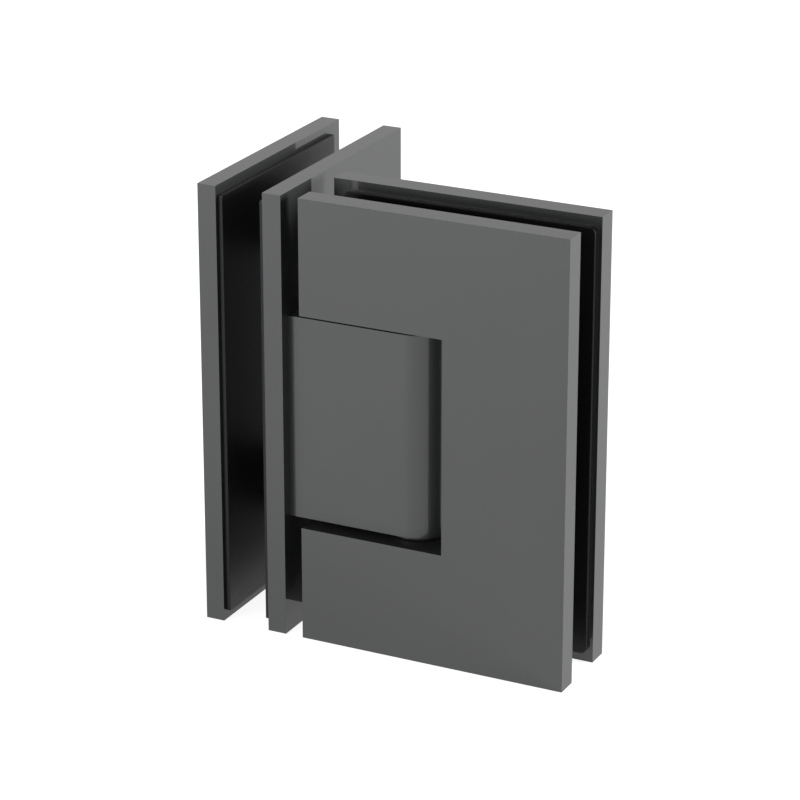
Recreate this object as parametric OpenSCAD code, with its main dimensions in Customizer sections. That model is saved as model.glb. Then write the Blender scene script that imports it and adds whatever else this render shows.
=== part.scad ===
// Glass-to-glass shower door hinge for a 90 degree corner.
// The origin is on the pivot axis, level with the lower edges of the plates.
// +X runs along the closed door to its free edge, +Y towards the inside, +Z up the axis.

/* [Plates] */
// Height of all four plates
plate_h = 90; // [84:1:110]
// Width of the two door plates
door_w = 55.4; // [50:0.1:70]
// Thickness of the two door plates
door_t = 4.7; // [4.2:0.1:6]
// Width of the two fixed plates
fixed_w = 50.7; // [48:0.1:65]
// Thickness of the two fixed plates
fixed_t = 3.9; // [3.7:0.1:5]
// Gap between the edges of the door plates and the inner fixed plate
edge_gap = 3.7; // [3:0.1:6]

/* [Glass and gaskets] */
// Thickness of the glass that both sides clamp
glass_t = 8; // [8:0.5:12]
// Thickness of a gasket
gasket_t = 1; // [0.5:0.1:1.5]
// Distance from the gaskets to the upper and lower edges of the plates
gasket_inset_z = 2; // [1:0.1:3]
// Distance from the door gaskets to the free edges of the door plates
gasket_inset_door = 1; // [0.5:0.1:3]
// Distance from the door gaskets to the hinge edges of the door plates
gasket_inset_hinge = 2.6; // [1:0.1:4]
// Distance from the fixed gaskets to the front edges of the fixed plates
gasket_inset_front = 0.8; // [0.5:0.1:3]
// Distance from the fixed gaskets to the back edges of the fixed plates
gasket_inset_back = 4; // [1:0.1:6]
// Corner radius of the door gaskets
door_gasket_r = 1.2; // [0.5:0.1:3]
// Corner radius of the fixed gaskets
fixed_gasket_r = 0.3; // [0.2:0.1:3]

/* [Notch and block] */
// Depth of the notch, from the hinge edge of the door plates
notch_depth = 30; // [29.5:0.1:34]
// Height of the notch
notch_h = 43.5; // [40:0.1:48]
// Distance from the hinge edge of the door plates to the pivot axis
pivot_inset = 20.8; // [19:0.1:21.5]
// Thickness of the pivot block, which is twice the radius of its nose
block_t = 14.8; // [13.5:0.1:15.6]

/* [Pivot] */
// Diameter of the pivot pin
pin_d = 7; // [6:0.1:7.4]
// Depth of the flats that the plungers press on
flat_depth = 0.5; // [0.3:0.05:0.8]
// Height of each lug that holds an end of the pin
lug_h = 6.3; // [5.5:0.1:8]
// Distance that each lug reaches past the pivot axis
lug_reach = 7.3; // [6.5:0.1:8.5]
// Wall of a bush round the pin
bush_wall = 1.2; // [0.8:0.1:1.6]
// Length of a bush inside the block
bush_len = 9; // [6:0.5:10]
// Thickness of the bush flange between the block and a lug
flange_t = 1; // [0.6:0.1:1.5]
// Diameter of the bush flange
flange_d = 12; // [10.5:0.1:13.5]

/* [Centring plungers] */
// Diameter of a plunger
plunger_d = 6; // [5:0.1:6.5]
// Length of the thick front of a plunger
plunger_len = 8; // [6:0.1:9]
// Height between the two plungers
plunger_pitch = 10; // [8.5:0.1:11]
// Wire diameter of a plunger spring
spring_wire = 0.9; // [0.6:0.1:1.1]
// Number of turns in a plunger spring
spring_turns = 6; // [4:1:8]

/* [Screws] */
// Diameter of the screws that clamp the glass
clamp_d = 6; // [5:0.1:6.2]
// Gap between the end of a lug and the sleeve of the door clamp screw beside it
sleeve_gap = 1; // [0.8:0.1:3]
// Distance of the door clamp screws from the edge of the notch
ear_z = 8.5; // [7.5:0.1:10]
// Distance of the fixed clamp screws from the plane through the middle of the door glass
fixed_screw_y = 25.3; // [23:0.1:28]
// Height between the two fixed clamp screws
fixed_screw_pitch = 56; // [50:0.5:60]
// Diameter of a threaded boss
boss_d = 11; // [9.5:0.1:12]
// Wall of a sleeve round a boss
sleeve_wall = 1.5; // [1:0.1:2]
// Diameter of the screws that hold the block
block_screw_d = 5; // [4:0.1:5.4]
// Height between the two block screws
block_screw_pitch = 29; // [27:0.5:31]
// Length of thread that a block screw has in the block
block_screw_grip = 10; // [6:0.5:14]
// Diameter of the set screws that lock the pin
lock_d = 4; // [3:0.1:4.5]
// Length of a set screw
lock_len = 6; // [4:0.5:10]

/* [Hidden] */
$fn = 64;

// Clearances
fit = 0.02;             // radial, between pieces that are pressed or screwed together
running = 0.05;         // radial, between pieces that turn or slide
flange_play = 0.2;      // between a bush flange and the lug beside it
hole_play = 0.2;        // radial, between a clamp screw and the hole it passes through
clamp_play = 0.3;       // between a lug or boss and the plate that is clamped towards it
spring_play = 0.1;      // at each end of a spring
cut_room = 1.5;         // between the notch or a lug and the edge of the door gaskets
glass_play = 1;         // radial, between a sleeve and its hole in the glass and gaskets
eps = 0.01;             // how far a cutter stands past the face it cuts

// Levels and planes
mid_z = plate_h / 2;
glass_gap = glass_t + 2 * gasket_t;
door_face = glass_gap / 2;
door_x0 = -pivot_inset;
door_x1 = door_x0 + door_w;
door_y0 = -door_face - door_t;
inner_x1 = door_x0 - edge_gap;
inner_x0 = inner_x1 - fixed_t;
outer_x1 = inner_x0 - glass_gap;
outer_x0 = outer_x1 - fixed_t;
fixed_y0 = door_y0;
notch_z0 = mid_z - notch_h / 2;
notch_z1 = mid_z + notch_h / 2;
boss_len = glass_gap - clamp_play;

// Block and pivot
nose_r = block_t / 2;
block_h = notch_h - 2 * (flange_t + flange_play);
block_z0 = mid_z - block_h / 2;
block_z1 = mid_z + block_h / 2;
bush_d = pin_d + 2 * running + 2 * bush_wall;
pin_relief = 0.3;       // radial, between the pin and the block between the bushes
pin_end_gap = 0.3;      // from an end of the pin to the outer face of its lug
pin_chamfer = 0.6;
flats_past = 1;         // how far the flats run past the plungers
flats_h = plunger_pitch + plunger_d + 2 * flats_past;
plunger_tip = -pin_d / 2 - running;
plunger_shoulder = plunger_tip - plunger_len;
stem_play = 0.5;        // radial, between a plunger's stem and its spring
stem_d = plunger_d - 2 * spring_wire - 2 * stem_play;
stem_len = 5;
tip_chamfer = 0.4;
spring_d = plunger_d - 2 * spring_play;
coil_r = (spring_d - spring_wire) / 2;
coil_sides = 8;
coil_steps = 16;

// Screws
head_ratio = 1.84;      // head diameter of a countersunk screw for each millimetre of thread
key_ratio = 0.64;       // width across flats of its hexagon socket
key_depth_ratio = 0.42; // depth of the socket
thread_past_boss = 2;   // how far a clamp screw reaches into the plate behind its boss
drill_past_screw = 1;   // how far the block is drilled past the tip of its screw
head_land = 0.2;        // straight edge round the top of a screw head
lock_key_ratio = 0.5;   // socket of a set screw
lock_tip_ratio = 0.6;   // flat tip of a set screw
lock_chamfer = 0.8;     // height of the cone behind that tip
clamp_len = fixed_t + glass_gap + thread_past_boss;
door_clamp_len = door_t + glass_gap + thread_past_boss;
sleeve_r = boss_d / 2 + sleeve_wall;
ear_x = lug_reach + sleeve_gap + sleeve_r;
lug_mid = lug_h / 2;

function fixed_screw_zs() = [for (s = [-1, 1]) mid_z + s * fixed_screw_pitch / 2];
function block_screw_zs() = [for (s = [-1, 1]) mid_z + s * block_screw_pitch / 2];
function ear_zs() = [notch_z0 - ear_z, notch_z1 + ear_z];

// Turns a piece drawn along +Z so that it points along +X, -X, +Y or -Y
module along_x() { rotate([0, 90, 0]) children(); }
module against_x() { rotate([0, -90, 0]) children(); }
module along_y() { rotate([-90, 0, 0]) children(); }
module against_y() { rotate([90, 0, 0]) children(); }

// Rectangle with rounded corners, from one corner to the other
module rounded(x0, y0, x1, y1, r) {
    translate([x0 + r, y0]) square([x1 - x0 - 2 * r, y1 - y0]);
    translate([x0, y0 + r]) square([x1 - x0, y1 - y0 - 2 * r]);
    for (x = [x0 + r, x1 - r], y = [y0 + r, y1 - r])
        translate([x, y]) circle(r);
}

// Countersunk screw with a hexagon socket: the top of its head is at z = 0, the shank goes down
module countersunk_screw(d, len) {
    head_d = d * head_ratio;
    head_h = (head_d - d) / 2;
    difference() {
        union() {
            translate([0, 0, -head_land]) cylinder(d = head_d, h = head_land);
            translate([0, 0, -head_land - head_h]) cylinder(d1 = d, d2 = head_d, h = head_h);
            translate([0, 0, -len + tip_chamfer]) cylinder(d = d, h = len - tip_chamfer - head_land);
            translate([0, 0, -len]) cylinder(d1 = d - 2 * tip_chamfer, d2 = d, h = tip_chamfer);
        }
        translate([0, 0, -d * key_depth_ratio])
            cylinder(d = d * key_ratio / cos(30), h = d * key_depth_ratio + eps, $fn = 6);
    }
}

// Room for that screw: a seat for its head and a hole of the given play round its shank
module countersink(d, len, play) {
    head_d = d * head_ratio + 2 * running;
    head_h = (head_d - d) / 2;
    translate([0, 0, -head_land - running]) cylinder(d = head_d, h = head_land + running + eps);
    translate([0, 0, -head_land - running - head_h]) cylinder(d1 = d, d2 = head_d, h = head_h);
    translate([0, 0, -len]) cylinder(d = d + 2 * play, h = len);
}

// A threaded boss, its foot at z = 0
module boss() { cylinder(d = boss_d, h = boss_len); }

// A threaded hole from the top of a boss into the plate under it
module thread_hole() {
    translate([0, 0, -thread_past_boss - clamp_play])
        cylinder(d = clamp_d + 2 * fit, h = boss_len + thread_past_boss + clamp_play + eps);
}

// A sleeve as long as its boss, its foot on the plate at z = 0
module sleeve() {
    difference() {
        cylinder(r = sleeve_r, h = boss_len);
        translate([0, 0, -eps]) cylinder(d = boss_d + 2 * fit, h = boss_len + 2 * eps);
    }
}

// Outline of a door plate, drawn in X and Z
module door_outline() {
    difference() {
        translate([door_x0, 0]) square([door_w, plate_h]);
        translate([door_x0 - eps, notch_z0]) square([notch_depth + eps, notch_h]);
    }
}

// Outline of a door gasket: it leaves the notch, the lugs and the two sleeves free
module door_gasket_outline() {
    cut_z = notch_h / 2 + lug_h + cut_room;
    cut_x = max(door_x0 + notch_depth, lug_reach) + cut_room;
    difference() {
        rounded(door_x0 + gasket_inset_hinge, gasket_inset_z,
            door_x1 - gasket_inset_door, plate_h - gasket_inset_z, door_gasket_r);
        translate([door_x0, mid_z - cut_z]) square([cut_x - door_x0, 2 * cut_z]);
        for (z = ear_zs())
            translate([ear_x, z]) circle(sleeve_r + glass_play);
    }
}

// Outline of a fixed gasket, drawn in Y and Z, with holes for the two sleeves
module fixed_gasket_outline() {
    difference() {
        rounded(fixed_y0 + gasket_inset_front, gasket_inset_z,
            fixed_y0 + fixed_w - gasket_inset_back, plate_h - gasket_inset_z, fixed_gasket_r);
        for (z = fixed_screw_zs())
            translate([fixed_screw_y, z]) circle(sleeve_r + glass_play);
    }
}

// Stands an outline drawn in X and Z upright, its thickness running from y towards +Y
module stand_xz(y, t) {
    translate([0, y + t, 0]) rotate([90, 0, 0]) linear_extrude(t) children();
}

// Stands an outline drawn in Y and Z upright, its thickness running from x towards +X
module stand_yz(x, t) {
    translate([x, 0, 0]) rotate([90, 0, 90]) linear_extrude(t) children();
}

// Places a piece at each fixed clamp screw, on the plane x
module at_fixed_screws(x) {
    for (z = fixed_screw_zs())
        translate([x, fixed_screw_y, z]) children();
}

// Places a piece at each door clamp screw, on the plane y
module at_ears(y) {
    for (z = ear_zs())
        translate([ear_x, y, z]) children();
}

module fixed_outer_plate() {
    color("#66686a") difference() {
        union() {
            translate([outer_x0, fixed_y0, 0]) cube([fixed_t, fixed_w, plate_h]);
            at_fixed_screws(outer_x1) along_x() boss();
        }
        at_fixed_screws(outer_x1) along_x() thread_hole();
    }
}

module fixed_inner_plate() {
    color("#66686a") difference() {
        translate([inner_x0, fixed_y0, 0]) cube([fixed_t, fixed_w, plate_h]);
        at_fixed_screws(inner_x1) along_x() countersink(clamp_d, fixed_t + eps, hole_play);
        for (z = block_screw_zs())
            translate([inner_x0, 0, z]) against_x() countersink(block_screw_d, fixed_t + eps, hole_play);
    }
}

module fixed_outer_gasket() {
    color("#1d1e20") stand_yz(outer_x1, gasket_t) fixed_gasket_outline();
}

module fixed_inner_gasket() {
    color("#1d1e20") stand_yz(inner_x0 - gasket_t, gasket_t) fixed_gasket_outline();
}

module fixed_clamp_screws() {
    color("#4a4b4d") at_fixed_screws(inner_x1) along_x() countersunk_screw(clamp_d, clamp_len);
}

module fixed_sleeves() {
    color("#e6e6e2") at_fixed_screws(outer_x1) along_x() sleeve();
}

// The block: a flat bar with a full round nose about the pivot axis
module pivot_block() {
    bar = -inner_x1;
    drilled = block_screw_grip + drill_past_screw;
    color("#66686a") difference() {
        translate([0, 0, block_z0]) linear_extrude(block_h) {
            translate([-bar, -nose_r]) square([bar, block_t]);
            circle(nose_r, $fn = 96);
        }
        translate([0, 0, block_z0 - eps])
            cylinder(d = pin_d + 2 * pin_relief, h = block_h + 2 * eps);
        for (z = [block_z0 - eps, block_z1 - bush_len])
            translate([0, 0, z]) cylinder(d = bush_d + 2 * fit, h = bush_len + eps);
        for (s = [-1, 1])
            translate([0, 0, mid_z + s * plunger_pitch / 2]) against_x()
                cylinder(d = plunger_d + 2 * running, h = bar + eps);
        for (z = block_screw_zs())
            translate([-bar + drilled, 0, z]) against_x()
                cylinder(d = block_screw_d + 2 * fit, h = drilled + eps);
    }
}

module block_screws() {
    color("#4a4b4d") for (z = block_screw_zs())
        translate([inner_x0, 0, z]) against_x()
            countersunk_screw(block_screw_d, fixed_t + block_screw_grip);
}

// A flanged bush, its flange down and its barrel up from z = 0
module bush() {
    difference() {
        union() {
            translate([0, 0, -flange_t]) cylinder(d = flange_d, h = flange_t);
            cylinder(d = bush_d, h = bush_len - fit);
        }
        translate([0, 0, -flange_t - eps])
            cylinder(d = pin_d + 2 * running, h = flange_t + bush_len + 2 * eps);
    }
}

module upper_bush() {
    color("#232325") translate([0, 0, block_z1]) mirror([0, 0, 1]) bush();
}

module lower_bush() {
    color("#232325") translate([0, 0, block_z0]) bush();
}

// A plunger, its flat tip just clear of the pin's full round, its stem inside the spring
module plunger(z) {
    translate([plunger_tip, 0, z]) against_x() {
        cylinder(d1 = plunger_d - 2 * tip_chamfer, d2 = plunger_d, h = tip_chamfer);
        translate([0, 0, tip_chamfer]) cylinder(d = plunger_d, h = plunger_len - tip_chamfer);
        cylinder(d = stem_d, h = plunger_len + stem_len);
    }
}

module upper_plunger() {
    color("#b9bbbd") plunger(mid_z + plunger_pitch / 2);
}

module lower_plunger() {
    color("#b9bbbd") plunger(mid_z - plunger_pitch / 2);
}

// Height of the wire's centre after a share t of the turns, with a closed turn at each end
function coil_rise(t, turns, rise) =
    let (u = t * turns, open = turns - 2, pitch = (rise - 2 * spring_wire) / open)
    u < 1 ? u * spring_wire
    : u < turns - 1 ? spring_wire + (u - 1) * pitch
    : rise - (turns - u) * spring_wire;

// Compression spring round +Z from z = 0, with the given overall length
module spring(len, turns) {
    rise = len - spring_wire;
    n = turns * coil_steps;
    points = [for (i = [0:n], j = [0:coil_sides - 1])
        let (a = 360 * i / coil_steps, b = 360 * j / coil_sides, w = spring_wire / 2)
            [(coil_r + w * cos(b)) * cos(a), (coil_r + w * cos(b)) * sin(a),
                w + coil_rise(i / n, turns, rise) + w * sin(b)]];
    walls = [for (i = [0:n - 1], j = [0:coil_sides - 1])
        let (k = (j + 1) % coil_sides)
            [i * coil_sides + j, i * coil_sides + k, (i + 1) * coil_sides + k, (i + 1) * coil_sides + j]];
    start = [for (j = [coil_sides - 1:-1:0]) j];
    finish = [for (j = [0:coil_sides - 1]) n * coil_sides + j];
    polyhedron(points, concat(walls, [start, finish]), convexity = 6);
}

// A spring in its bore, between the plunger's shoulder and the inner fixed plate
module plunger_spring(z) {
    len = plunger_shoulder - inner_x1 - 2 * spring_play;
    translate([inner_x1 + spring_play, 0, z]) along_x() spring(len, spring_turns);
}

module upper_spring() {
    color("#9a9c9e") plunger_spring(mid_z + plunger_pitch / 2);
}

module lower_spring() {
    color("#9a9c9e") plunger_spring(mid_z - plunger_pitch / 2);
}

// The pin: round in the lugs and bushes, with four flats between the bushes
module pivot_pin() {
    z0 = notch_z0 - lug_h + pin_end_gap;
    z1 = notch_z1 + lug_h - pin_end_gap;
    flat_w = pin_d - 2 * flat_depth;
    color("#b9bbbd") difference() {
        union() {
            translate([0, 0, z0 + pin_chamfer]) cylinder(d = pin_d, h = z1 - z0 - 2 * pin_chamfer);
            translate([0, 0, z0]) cylinder(d1 = pin_d - 2 * pin_chamfer, d2 = pin_d, h = pin_chamfer);
            translate([0, 0, z1 - pin_chamfer])
                cylinder(d1 = pin_d, d2 = pin_d - 2 * pin_chamfer, h = pin_chamfer);
        }
        for (a = [0:90:270])
            rotate([0, 0, a]) translate([flat_w / 2, -pin_d / 2, mid_z - flats_h / 2])
                cube([pin_d, pin_d, flats_h]);
    }
}

// Set screws in the lugs, their tips against the pin
module pin_lock_screws() {
    color("#4a4b4d") for (z = [notch_z0 - lug_mid, notch_z1 + lug_mid])
        translate([-pin_d / 2 - fit, 0, z]) against_x() difference() {
            union() {
                cylinder(d1 = lock_d * lock_tip_ratio, d2 = lock_d, h = lock_chamfer);
                translate([0, 0, lock_chamfer]) cylinder(d = lock_d, h = lock_len - lock_chamfer);
            }
            translate([0, 0, lock_len / 2])
                cylinder(d = lock_d * lock_key_ratio / cos(30), h = lock_len, $fn = 6);
        }
}

// The outer door plate with a lug above and below the notch and a boss beside each lug
module door_outer_plate() {
    color("#66686a") difference() {
        union() {
            stand_xz(door_y0, door_t) door_outline();
            for (z = [notch_z0 - lug_h, notch_z1])
                translate([door_x0, -door_face, z]) cube([pivot_inset + lug_reach, boss_len, lug_h]);
            at_ears(-door_face) along_y() boss();
        }
        at_ears(-door_face) along_y() thread_hole();
        translate([0, 0, notch_z0 - lug_h - eps]) cylinder(d = pin_d + 2 * fit, h = lug_h + 2 * eps);
        translate([0, 0, notch_z1 - eps]) cylinder(d = pin_d + 2 * fit, h = lug_h + 2 * eps);
        for (z = [notch_z0 - lug_mid, notch_z1 + lug_mid])
            translate([0, 0, z]) against_x() cylinder(d = lock_d + 2 * fit, h = pivot_inset + eps);
    }
}

module door_inner_plate() {
    color("#66686a") difference() {
        stand_xz(door_face, door_t) door_outline();
        at_ears(door_face + door_t) along_y() countersink(clamp_d, door_t + eps, hole_play);
    }
}

module door_outer_gasket() {
    color("#1d1e20") stand_xz(-door_face, gasket_t) door_gasket_outline();
}

module door_inner_gasket() {
    color("#1d1e20") stand_xz(door_face - gasket_t, gasket_t) door_gasket_outline();
}

module door_clamp_screws() {
    color("#4a4b4d") at_ears(door_face + door_t) along_y() countersunk_screw(clamp_d, door_clamp_len);
}

module door_sleeves() {
    color("#e6e6e2") at_ears(-door_face) along_y() sleeve();
}

fixed_outer_plate();
fixed_inner_plate();
fixed_outer_gasket();
fixed_inner_gasket();
fixed_clamp_screws();
fixed_sleeves();
pivot_block();
block_screws();
upper_bush();
lower_bush();
upper_plunger();
lower_plunger();
upper_spring();
lower_spring();
pivot_pin();
pin_lock_screws();
door_outer_plate();
door_inner_plate();
door_outer_gasket();
door_inner_gasket();
door_clamp_screws();
door_sleeves();
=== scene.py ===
# %% [markdown]
# # A glass door hinge in gunmetal
#
# The hinge joins a glass shower door to a fixed glass panel at a right angle. Its metal,
# rubber and plastic parts come ready-made from the CAD model, in metres and in their real
# places. This lesson gives each of them a finish, then adds a camera, a floor and soft studio
# light. Every finish is made from nodes, so it holds from any side and at any distance.

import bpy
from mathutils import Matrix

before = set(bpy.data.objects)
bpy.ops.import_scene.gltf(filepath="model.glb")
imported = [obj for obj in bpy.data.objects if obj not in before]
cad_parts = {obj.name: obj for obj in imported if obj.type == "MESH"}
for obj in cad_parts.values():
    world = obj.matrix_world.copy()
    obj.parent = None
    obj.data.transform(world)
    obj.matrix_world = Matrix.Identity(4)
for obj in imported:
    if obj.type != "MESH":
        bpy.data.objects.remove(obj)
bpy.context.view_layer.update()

MM = 0.001


# %% [markdown]
# ## The camera
#
# A long lens was used, about 0.65 m away, so the plates' edges run almost parallel. The
# photograph's straight edges fix the camera's place and lens. It is turned about the vertical
# to face the hinge, and tipped down by the drop, which counts from a level view.

# %% Camera
import math

import bpy

CAMERA_PLACE = (0.25798, -0.52808, 0.27435)
CAMERA_TURN = 26.415
CAMERA_DROP = 20.893
LENS_MM = 148.69
SENSOR_MM = 36

camera_data = bpy.data.cameras.new("camera")
camera_data.sensor_width = SENSOR_MM
camera_data.lens = LENS_MM
camera = bpy.data.objects.new("camera", camera_data)
camera.location = CAMERA_PLACE
camera.rotation_euler = (math.radians(90 - CAMERA_DROP), 0, math.radians(CAMERA_TURN))
bpy.context.scene.collection.objects.link(camera)
bpy.context.scene.camera = camera
print("camera", round(camera.location.length, 3), "m from the pivot's foot")

# %% [markdown]
# ## Small helpers for node trees
#
# Every finish below is a material whose nodes are placed in code. Two helpers keep those
# cells short: one adds a node and sets its values, and one links two sockets.

# %% Helpers for nodes
def label_of(name):
    """The socket label that a Python name stands for, such as Grain Size for grain_size."""
    return name.replace("_", " ").title().replace("Ior", "IOR")


def add_node(tree, kind, **values):
    """A new node in a tree. Values name a property of the node, or else one of its inputs."""
    node = tree.nodes.new(kind)
    for name, value in values.items():
        if name in node.bl_rna.properties:
            setattr(node, name, value)
        else:
            node.inputs[label_of(name)].default_value = value
    return node


def link(tree, source, target):
    """Joins an output socket to an input socket."""
    tree.links.new(source, target)


print("a name becomes a label:", label_of("grain_size"))

# %% [markdown]
# ## Helpers for node groups
#
# An effect that several materials share, such as grain, is built once as a node group. Its
# named inputs are what a material may choose, and its named outputs are what it gets back.
# The helpers start a group, place it in a material, and make noise of a chosen size, which
# most of the groups need.

# %% Helpers for groups
FLOAT, VECTOR = "NodeSocketFloat", "NodeSocketVector"


def start_group(name, inputs, outputs):
    """A shader node group with these sockets, and its inner input and output nodes."""
    tree = bpy.data.node_groups.new(name, "ShaderNodeTree")
    for label, kind, value in inputs:
        socket = tree.interface.new_socket(label, in_out="INPUT", socket_type=kind)
        socket.default_value = value
    for label, kind in outputs:
        tree.interface.new_socket(label, in_out="OUTPUT", socket_type=kind)
    return tree, tree.nodes.new("NodeGroupInput"), tree.nodes.new("NodeGroupOutput")


def use_group(tree, group, **values):
    """The group as a node in a material, with its own values on the named inputs."""
    node = tree.nodes.new("ShaderNodeGroup")
    node.node_tree = group
    for name, value in values.items():
        node.inputs[label_of(name)].default_value = value
    return node


def noise_of_size(tree, position, size, detail):
    """Noise from 0 to 1 at a position, with blotches of about the size that a socket gives."""
    per_metre = add_node(tree, "ShaderNodeMath", operation="DIVIDE")
    per_metre.inputs[0].default_value = 1
    link(tree, size, per_metre.inputs[1])
    noise = add_node(tree, "ShaderNodeTexNoise", detail=detail)
    link(tree, position, noise.inputs["Vector"])
    link(tree, per_metre.outputs[0], noise.inputs["Scale"])
    return noise.outputs["Fac"]


print("a group's inputs and outputs are of the kinds", FLOAT, VECTOR)

# %% [markdown]
# ## Plating grain
#
# Plated and moulded surfaces are never quite even. Under a lens they show a fine grain, and
# over a palm's width they drift a little in tone. One group makes both from noise in the
# object's own coordinates, so the pattern stays with the metal when the door swings. Each
# material says how fine it wants them, and whether they are drawn out one way.

# %% Group: surface_grain
grain, grain_in, grain_out = start_group(
    "surface_grain",
    [
        ("Grain Size", FLOAT, 0.3 * MM),
        ("Cloud Size", FLOAT, 20 * MM),
        ("Stretch", VECTOR, (1, 1, 1)),
    ],
    [("Grain", FLOAT), ("Clouds", FLOAT)],
)
place = add_node(grain, "ShaderNodeTexCoord")
stretched = add_node(grain, "ShaderNodeVectorMath", operation="MULTIPLY")
link(grain, place.outputs["Object"], stretched.inputs[0])
link(grain, grain_in.outputs["Stretch"], stretched.inputs[1])
for size, output, detail in (("Grain Size", "Grain", 2), ("Cloud Size", "Clouds", 3)):
    pattern = noise_of_size(grain, stretched.outputs[0], grain_in.outputs[size], detail)
    link(grain, pattern, grain_out.inputs[output])
print("group", grain.name, "with", len(grain.nodes), "nodes")

# %% [markdown]
# ## Edges
#
# No machined edge is a perfect corner. Polishing leaves a small radius, and there the plating
# is brightest and wears first. The Bevel node rounds the shading normal near an edge without
# changing the mesh. Where that rounded normal differs from the true one, the group puts out a
# wear mask, broken up by noise.

# %% Group: edge_wear
LIKENESS_ON_A_FLAT = 0.995
LIKENESS_AT_A_CORNER = 0.8

edges, edges_in, edges_out = start_group(
    "edge_wear",
    [("Radius", FLOAT, 0.1 * MM), ("Breakup Size", FLOAT, 4 * MM)],
    [("Normal", VECTOR), ("Wear", FLOAT)],
)
rounded = add_node(edges, "ShaderNodeBevel", samples=4)
link(edges, edges_in.outputs["Radius"], rounded.inputs["Radius"])
true_normal = add_node(edges, "ShaderNodeNewGeometry")
likeness = add_node(edges, "ShaderNodeVectorMath", operation="DOT_PRODUCT")
link(edges, rounded.outputs["Normal"], likeness.inputs[0])
link(edges, true_normal.outputs["Normal"], likeness.inputs[1])
near_edge = add_node(
    edges, "ShaderNodeMapRange",
    from_min=LIKENESS_ON_A_FLAT, from_max=LIKENESS_AT_A_CORNER, to_min=0, to_max=1)
link(edges, likeness.outputs["Value"], near_edge.inputs["Value"])
edge_place = add_node(edges, "ShaderNodeTexCoord")
breakup = noise_of_size(
    edges, edge_place.outputs["Object"], edges_in.outputs["Breakup Size"], detail=3)
worn = add_node(edges, "ShaderNodeMath", operation="MULTIPLY")
link(edges, near_edge.outputs["Result"], worn.inputs[0])
link(edges, breakup, worn.inputs[1])
link(edges, rounded.outputs["Normal"], edges_out.inputs["Normal"])
link(edges, worn.outputs[0], edges_out.inputs["Wear"])
print("group", edges.name, "with", len(edges.nodes), "nodes")

# %% [markdown]
# ## Turned rings
#
# The pin, the bushes, the plungers and the screws come off a lathe, and the tool leaves fine
# rings round them. A ring pattern is one-dimensional noise along the turning axis, so the
# group takes that axis as an input and reads how far along it a point lies.

# %% Group: turned_rings
rings, rings_in, rings_out = start_group(
    "turned_rings",
    [("Axis", VECTOR, (0, 0, 1)), ("Pitch", FLOAT, 0.2 * MM)],
    [("Rings", FLOAT)],
)
ring_place = add_node(rings, "ShaderNodeTexCoord")
along = add_node(rings, "ShaderNodeVectorMath", operation="DOT_PRODUCT")
link(rings, ring_place.outputs["Object"], along.inputs[0])
link(rings, rings_in.outputs["Axis"], along.inputs[1])
turns = add_node(rings, "ShaderNodeMath", operation="DIVIDE")
link(rings, along.outputs["Value"], turns.inputs[0])
link(rings, rings_in.outputs["Pitch"], turns.inputs[1])
ring_noise = add_node(rings, "ShaderNodeTexNoise", noise_dimensions="1D", detail=2, scale=1)
link(rings, turns.outputs[0], ring_noise.inputs["W"])
link(rings, ring_noise.outputs["Fac"], rings_out.inputs["Rings"])
print("group", rings.name, "with", len(rings.nodes), "nodes")

# %% [markdown]
# ## A material from its groups
#
# Every finish follows one plan. Two close tones are mixed by a pattern, and on metal that
# wears by the wear mask too. A narrow band of roughness follows a pattern, and a very low
# bump carries the grain or the rings on top of the rounded edges. What is the same all over
# the surface sits on the shader's own sockets.

# %% The plan as functions
MASK_LOW, MASK_HIGH = 0.3, 0.7


def start_material(name, **constants):
    """A material with a Principled BSDF, whose constant sockets are set by name."""
    material = bpy.data.materials.new(name)
    material.use_nodes = True
    shader = material.node_tree.nodes["Principled BSDF"]
    for label, value in constants.items():
        shader.inputs[label_of(label)].default_value = value
    return material, material.node_tree, shader


def mix_tones(tree, mask, first, second):
    """A colour that goes from the first tone to the second with a mask."""
    mix = add_node(tree, "ShaderNodeMix", data_type="RGBA")
    link(tree, mask, mix.inputs["Factor"])
    colour_sockets = [socket for socket in mix.inputs if socket.type == "RGBA"]
    for socket, tone in zip(colour_sockets, (first, second)):
        if isinstance(tone, bpy.types.NodeSocket):
            link(tree, tone, socket)
        else:
            socket.default_value = (*tone, 1)
    return next(socket for socket in mix.outputs if socket.type == "RGBA")


def map_mask(tree, mask, low, high, start=MASK_LOW, end=MASK_HIGH):
    """A number that runs from low to high as the mask runs from start to end."""
    band = add_node(
        tree, "ShaderNodeMapRange", from_min=start, from_max=end, to_min=low, to_max=high)
    link(tree, mask, band.inputs["Value"])
    return band.outputs["Result"]


def feed_shader(tree, shader, colour, rough, relief, edge_normal=None):
    """Gives a shader its colour, its roughness and its bump.

    rough is a mask with the lowest and the highest roughness. relief is a mask with the
    bump's depth in metres, which lies on top of a rounded normal where there is one.
    """
    link(tree, colour, shader.inputs["Base Color"])
    link(tree, map_mask(tree, *rough), shader.inputs["Roughness"])
    height, depth = relief
    bump = add_node(tree, "ShaderNodeBump", strength=1, distance=depth)
    link(tree, height, bump.inputs["Height"])
    if edge_normal is not None:
        link(tree, edge_normal, bump.inputs["Normal"])
    link(tree, bump.outputs["Normal"], shader.inputs["Normal"])


print("masks are read from", MASK_LOW, "to", MASK_HIGH)

# %% [markdown]
# ## Gunmetal plating
#
# The plates and the block are brass with a dark plating under a clear lacquer. Two layers of
# gloss give its look. The satin metal below spreads the lamps into a wide, soft sheen, and
# the thin lacquer mirrors the white surroundings crisply, so the notch's edge draws a sharp
# line on the rounded nose. The metal is dark: most of the grey that we see is light from the
# lacquer. The lacquer also holds a little pigment, which a Metallic below 1 stands for. The
# Specular Tint keeps the metal dark at a glance too, where a metal would turn white.

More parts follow.
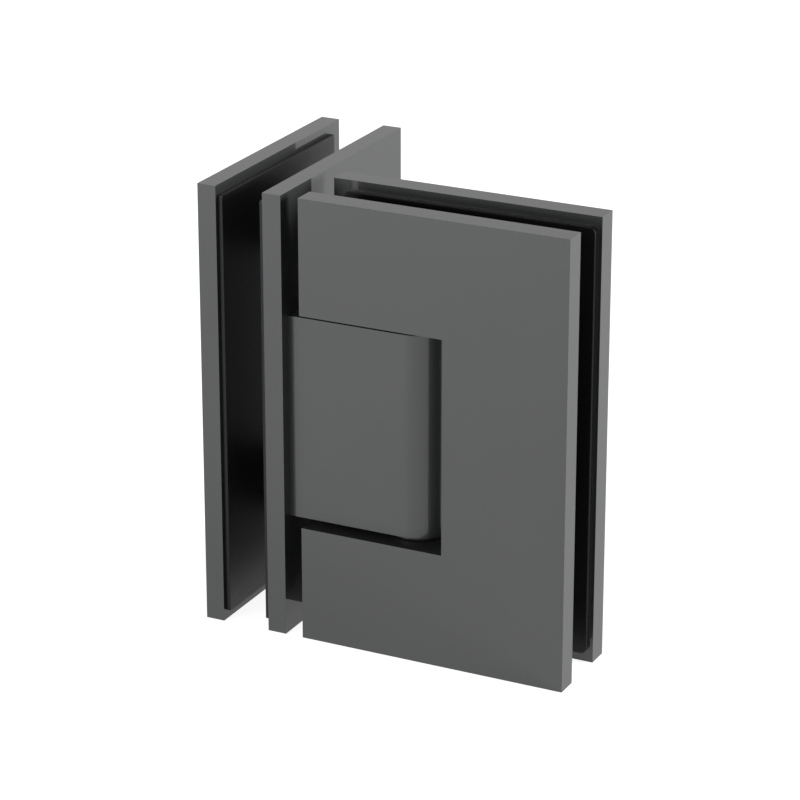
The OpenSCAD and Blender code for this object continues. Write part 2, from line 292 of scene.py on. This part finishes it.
# %% Gunmetal
MICRON = 0.000001
GUNMETAL_DARK = (0.0575, 0.0587, 0.0598)
GUNMETAL_LIGHT = (0.0625, 0.0638, 0.065)
GUNMETAL_WORN = (0.11, 0.11, 0.112)
GLANCING_TINT = (0.4, 0.4, 0.4, 1)
MOST_WEAR = 0.5

gunmetal, tree, shader = start_material(
    "gunmetal_plating", metallic=0.7, specular_ior_level=0, specular_tint=GLANCING_TINT,
    coat_weight=0.75, coat_roughness=0.05)
surface = use_group(tree, grain, grain_size=0.25 * MM, cloud_size=30 * MM)
rim = use_group(tree, edges, radius=0.05 * MM)
tone = mix_tones(tree, surface.outputs["Clouds"], GUNMETAL_DARK, GUNMETAL_LIGHT)
wear = map_mask(tree, rim.outputs["Wear"], 0, MOST_WEAR, start=0, end=1)
feed_shader(
    tree, shader, mix_tones(tree, wear, tone, GUNMETAL_WORN),
    rough=(surface.outputs["Grain"], 0.42, 0.48),
    relief=(surface.outputs["Grain"], 0.6 * MICRON),
    edge_normal=rim.outputs["Normal"])
print("material", gunmetal.name)

# %% [markdown]
# ## Black rubber
#
# The pads are moulded from a dense black rubber. It isn't metal: it takes a weak reflection
# at steep angles and a stronger one at a glance, so the deep gaps stay black and only the
# lower ends catch the pale floor. Its edges are a little rounder than the metal's.

# %% Black rubber
RUBBER_DARK = (0.009, 0.009, 0.0093)
RUBBER_LIGHT = (0.012, 0.012, 0.0124)

rubber, tree, shader = start_material("gasket_rubber", specular_ior_level=0.22)
surface = use_group(tree, grain, grain_size=0.4 * MM, cloud_size=12 * MM)
rim = use_group(tree, edges, radius=0.3 * MM)
feed_shader(
    tree, shader, mix_tones(tree, surface.outputs["Clouds"], RUBBER_DARK, RUBBER_LIGHT),
    rough=(surface.outputs["Grain"], 0.36, 0.44),
    relief=(surface.outputs["Grain"], 4 * MICRON),
    edge_normal=rim.outputs["Normal"])
print("material", rubber.name)

# %% [markdown]
# ## Screw steel
#
# The screws are black-plated steel with turned heads. Their rings lie square to the screw's
# own axis, so each group of screws gets the same finish with its own axis.

# %% Dark screw steel
SCREW_DARK = (0.045, 0.045, 0.048)
SCREW_LIGHT = (0.072, 0.072, 0.076)
SCREW_WORN = (0.22, 0.21, 0.2)


def screw_steel(name, axis):
    """Dark plated steel, turned about an axis."""
    material, tree, shader = start_material(name, metallic=1)
    turned = use_group(tree, rings, axis=axis, pitch=0.18 * MM)
    surface = use_group(tree, grain, grain_size=0.3 * MM, cloud_size=3 * MM)
    rim = use_group(tree, edges, radius=0.15 * MM, breakup_size=1.2 * MM)
    tone = mix_tones(tree, surface.outputs["Clouds"], SCREW_DARK, SCREW_LIGHT)
    feed_shader(
        tree, shader, mix_tones(tree, rim.outputs["Wear"], tone, SCREW_WORN),
        rough=(surface.outputs["Grain"], 0.3, 0.42),
        relief=(turned.outputs["Rings"], 4 * MICRON),
        edge_normal=rim.outputs["Normal"])
    return material


ALONG_X, ALONG_Y, ALONG_Z = (1, 0, 0), (0, 1, 0), (0, 0, 1)
screws_along_x = screw_steel("plated_screws_x", ALONG_X)
screws_along_y = screw_steel("plated_screws_y", ALONG_Y)
print("materials", screws_along_x.name, screws_along_y.name)

# %% [markdown]
# ## Ground steel
#
# The pin and the plungers rub on each other at every swing, so they are hardened and ground
# bright. Grinding leaves rings finer than turning does, in a light, clean steel.

# %% Ground steel
STEEL_DARK = (0.33, 0.335, 0.34)
STEEL_LIGHT = (0.42, 0.425, 0.43)


def ground_steel(name, axis):
    """Bright steel, ground about an axis."""
    material, tree, shader = start_material(name, metallic=1)
    turned = use_group(tree, rings, axis=axis, pitch=0.09 * MM)
    surface = use_group(tree, grain, grain_size=0.2 * MM, cloud_size=5 * MM)
    rim = use_group(tree, edges, radius=0.12 * MM)
    feed_shader(
        tree, shader, mix_tones(tree, turned.outputs["Rings"], STEEL_DARK, STEEL_LIGHT),
        rough=(surface.outputs["Clouds"], 0.2, 0.3),
        relief=(turned.outputs["Rings"], 2 * MICRON),
        edge_normal=rim.outputs["Normal"])
    return material


ground_pin = ground_steel("ground_pin_steel", ALONG_Z)
ground_plunger = ground_steel("ground_plunger_steel", ALONG_X)
print("materials", ground_pin.name, ground_plunger.name)

# %% [markdown]
# ## Spring wire
#
# Drawn wire keeps faint lines along its length and a grey bloom from heat treatment. The
# coils are too thin for lines to show, so stretched grain stands for both. A wire has no
# edges, so nothing is rounded here.

# %% Spring wire
WIRE_DARK = (0.18, 0.182, 0.186)
WIRE_LIGHT = (0.27, 0.272, 0.276)

wire, tree, shader = start_material("drawn_wire", metallic=1)
surface = use_group(tree, grain, grain_size=0.2 * MM, cloud_size=1.5 * MM, stretch=(3, 1, 1))
feed_shader(
    tree, shader, mix_tones(tree, surface.outputs["Clouds"], WIRE_DARK, WIRE_LIGHT),
    rough=(surface.outputs["Grain"], 0.3, 0.42),
    relief=(surface.outputs["Grain"], 3 * MICRON))
print("material", wire.name)

# %% [markdown]
# ## Black acetal
#
# The bushes are turned from black acetal, which is dense, smooth and a little waxy, so that
# nothing pale shows under the nose of the block.

# %% Acetal
ACETAL_DARK = (0.011, 0.011, 0.0115)
ACETAL_LIGHT = (0.015, 0.015, 0.0157)

acetal, tree, shader = start_material("turned_acetal")
turned = use_group(tree, rings, axis=ALONG_Z, pitch=0.2 * MM)
surface = use_group(tree, grain, grain_size=0.3 * MM, cloud_size=4 * MM)
rim = use_group(tree, edges, radius=0.2 * MM)
feed_shader(
    tree, shader, mix_tones(tree, surface.outputs["Clouds"], ACETAL_DARK, ACETAL_LIGHT),
    rough=(turned.outputs["Rings"], 0.34, 0.44),
    relief=(turned.outputs["Rings"], 4 * MICRON),
    edge_normal=rim.outputs["Normal"])
print("material", acetal.name)

# %% [markdown]
# ## Clear nylon
#
# The sleeves that keep the glass off the bosses are moulded nylon without a pigment. It lets
# light a short way in, which the subsurface weight gives.

# %% Nylon
NYLON_DARK = (0.55, 0.55, 0.5)
NYLON_LIGHT = (0.64, 0.64, 0.59)

nylon, tree, shader = start_material(
    "moulded_nylon", subsurface_weight=0.2, subsurface_scale=1.5 * MM)
surface = use_group(tree, grain, grain_size=0.5 * MM, cloud_size=6 * MM)
rim = use_group(tree, edges, radius=0.2 * MM)
feed_shader(
    tree, shader, mix_tones(tree, surface.outputs["Clouds"], NYLON_DARK, NYLON_LIGHT),
    rough=(surface.outputs["Grain"], 0.32, 0.42),
    relief=(surface.outputs["Grain"], 5 * MICRON),
    edge_normal=rim.outputs["Normal"])
print("material", nylon.name)

# %% [markdown]
# ## Finishes on the parts
#
# Each part of the hinge already has one material slot, which holds a plain colour from the
# CAD model. Putting the new material in that slot changes the look and leaves the shape and
# the place alone.

# %% Put the finishes on
FINISHES = {
    gunmetal: (
        "fixed_outer_plate", "fixed_inner_plate", "pivot_block",
        "door_outer_plate", "door_inner_plate"),
    rubber: (
        "fixed_outer_gasket", "fixed_inner_gasket", "door_outer_gasket", "door_inner_gasket"),
    screws_along_x: ("fixed_clamp_screws", "block_screws", "pin_lock_screws"),
    screws_along_y: ("door_clamp_screws",),
    ground_pin: ("pivot_pin",),
    ground_plunger: ("upper_plunger", "lower_plunger"),
    wire: ("upper_spring", "lower_spring"),
    acetal: ("upper_bush", "lower_bush"),
    nylon: ("fixed_sleeves", "door_sleeves"),
}
for material, names in FINISHES.items():
    for name in names:
        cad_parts[name].data.materials[0] = material
print("parts with a finish:", sum(len(names) for names in FINISHES.values()))

# %% [markdown]
# ## White without more light
#
# The background is white, but lamps strong enough to make it so would wash the hinge out.
# The Light Path node helps: it tells what kind of ray reaches a surface. Camera rays, and
# rays that a mirror-like or see-through surface sends on, get a brighter floor and backdrop.
# The light that falls on the hinge stays as it was.

# %% A level for what is seen directly
OTHER_DIRECT_RAYS = ("Is Glossy Ray", "Is Transmission Ray")


def seen_directly(tree):
    """1 for rays from the camera, a mirror-like surface or a see-through one, otherwise 0."""
    path = add_node(tree, "ShaderNodeLightPath")
    level = path.outputs["Is Camera Ray"]
    for kind in OTHER_DIRECT_RAYS:
        either = add_node(tree, "ShaderNodeMath", operation="MAXIMUM")
        link(tree, level, either.inputs[0])
        link(tree, path.outputs[kind], either.inputs[1])
        level = either.outputs[0]
    return level


print("seen directly: camera rays and", OTHER_DIRECT_RAYS)

# %% [markdown]
# ## Floor
#
# The hinge stands on a plain pale floor. The floor is matt, so it keeps a soft shadow, and
# it adds a plain glow where it is seen directly, which brings it up to white. It lies a
# hair's breadth under the plates, so that no two faces share one plane.

# %% Floor
FLOOR_GREY = 0.6
FLOOR_GLOW = 0.9
FLOOR_HALF = 3.0
FLOOR_LEVEL = -0.05 * MM

floor_paint = bpy.data.materials.new("pale_floor")
floor_paint.use_nodes = True
tree = floor_paint.node_tree
tree.nodes.clear()
matt = add_node(tree, "ShaderNodeBsdfDiffuse")
matt.inputs["Color"].default_value = (FLOOR_GREY, FLOOR_GREY, FLOOR_GREY, 1)
glow = add_node(tree, "ShaderNodeEmission")
glow_level = add_node(tree, "ShaderNodeMath", operation="MULTIPLY")
glow_level.inputs[1].default_value = FLOOR_GLOW
link(tree, seen_directly(tree), glow_level.inputs[0])
link(tree, glow_level.outputs[0], glow.inputs["Strength"])
both = add_node(tree, "ShaderNodeAddShader")
link(tree, matt.outputs[0], both.inputs[0])
link(tree, glow.outputs[0], both.inputs[1])
link(tree, both.outputs[0], add_node(tree, "ShaderNodeOutputMaterial").inputs["Surface"])

CORNER_SIDES = ((-1, -1), (1, -1), (1, 1), (-1, 1))
corners = [(x * FLOOR_HALF, y * FLOOR_HALF, FLOOR_LEVEL) for x, y in CORNER_SIDES]
floor_mesh = bpy.data.meshes.new("floor")
floor_mesh.from_pydata(corners, [], [(0, 1, 2, 3)])
floor_mesh.materials.append(floor_paint)
floor = bpy.data.objects.new("floor", floor_mesh)
bpy.context.scene.collection.objects.link(floor)
print("floor", 2 * FLOOR_HALF, "m wide")

# %% [markdown]
# ## Backdrop
#
# The world stands for the studio's far walls. It is white where it is seen directly, and a
# low, even fill everywhere else, so that the gaps between the plates can go black.

# %% World
WORLD_LEVEL = 0.2

world = bpy.data.worlds.new("backdrop")
world.use_nodes = True
bpy.context.scene.world = world
tree = world.node_tree
backdrop_level = add_node(
    tree, "ShaderNodeMapRange", from_min=0, from_max=1, to_min=WORLD_LEVEL, to_max=1)
link(tree, seen_directly(tree), backdrop_level.inputs["Value"])
tree.nodes["Background"].inputs["Color"].default_value = (1, 1, 1, 1)
link(tree, backdrop_level.outputs["Result"], tree.nodes["Background"].inputs["Strength"])
print("world level", WORLD_LEVEL)

# %% [markdown]
# ## Soft lamps
#
# Two soft boxes light the hinge from 1.5 m away, both low over the floor. The one on the front
# left gives the wide faces their even grey and fades round the nose of the block. The one
# behind on the right lifts the ends of the door plates. Each is placed by its bearing from
# the front and its height in degrees. An area lamp's power is spread over its face, so it is
# worked out here from the radiance that the face should have.

# %% Lamps
from mathutils import Vector

AIM = Vector((0, 0.01, 0.045))
LAMP_DISTANCE = 1.5
LAMP_SIZE = 0.5


def soft_box(name, bearing, height, radiance):
    """A square area lamp that looks at the hinge. Power is radiance times pi times the area."""
    data = bpy.data.lights.new(name, "AREA")
    data.shape = "SQUARE"
    data.size = LAMP_SIZE
    data.energy = radiance * math.pi * LAMP_SIZE ** 2
    lamp = bpy.data.objects.new(name, data)
    turn, lift = math.radians(bearing), math.radians(height)
    direction = Vector(
        (math.sin(turn) * math.cos(lift), -math.cos(turn) * math.cos(lift), math.sin(lift)))
    lamp.location = AIM + LAMP_DISTANCE * direction
    lamp.rotation_euler = direction.to_track_quat("Z", "Y").to_euler()
    lamp.visible_camera = False
    bpy.context.scene.collection.objects.link(lamp)
    return lamp


front_left = soft_box("front_left", bearing=-26, height=7, radiance=15.5)
back_right = soft_box("back_right", bearing=115, height=12, radiance=35)
print("lamps", round(front_left.data.energy, 2), "W and", round(back_right.data.energy, 2), "W")

# %% [markdown]
# ## View transform
#
# The picture keeps plain colours, so the view transform is the standard one.

bpy.context.scene.view_settings.view_transform = "Standard"
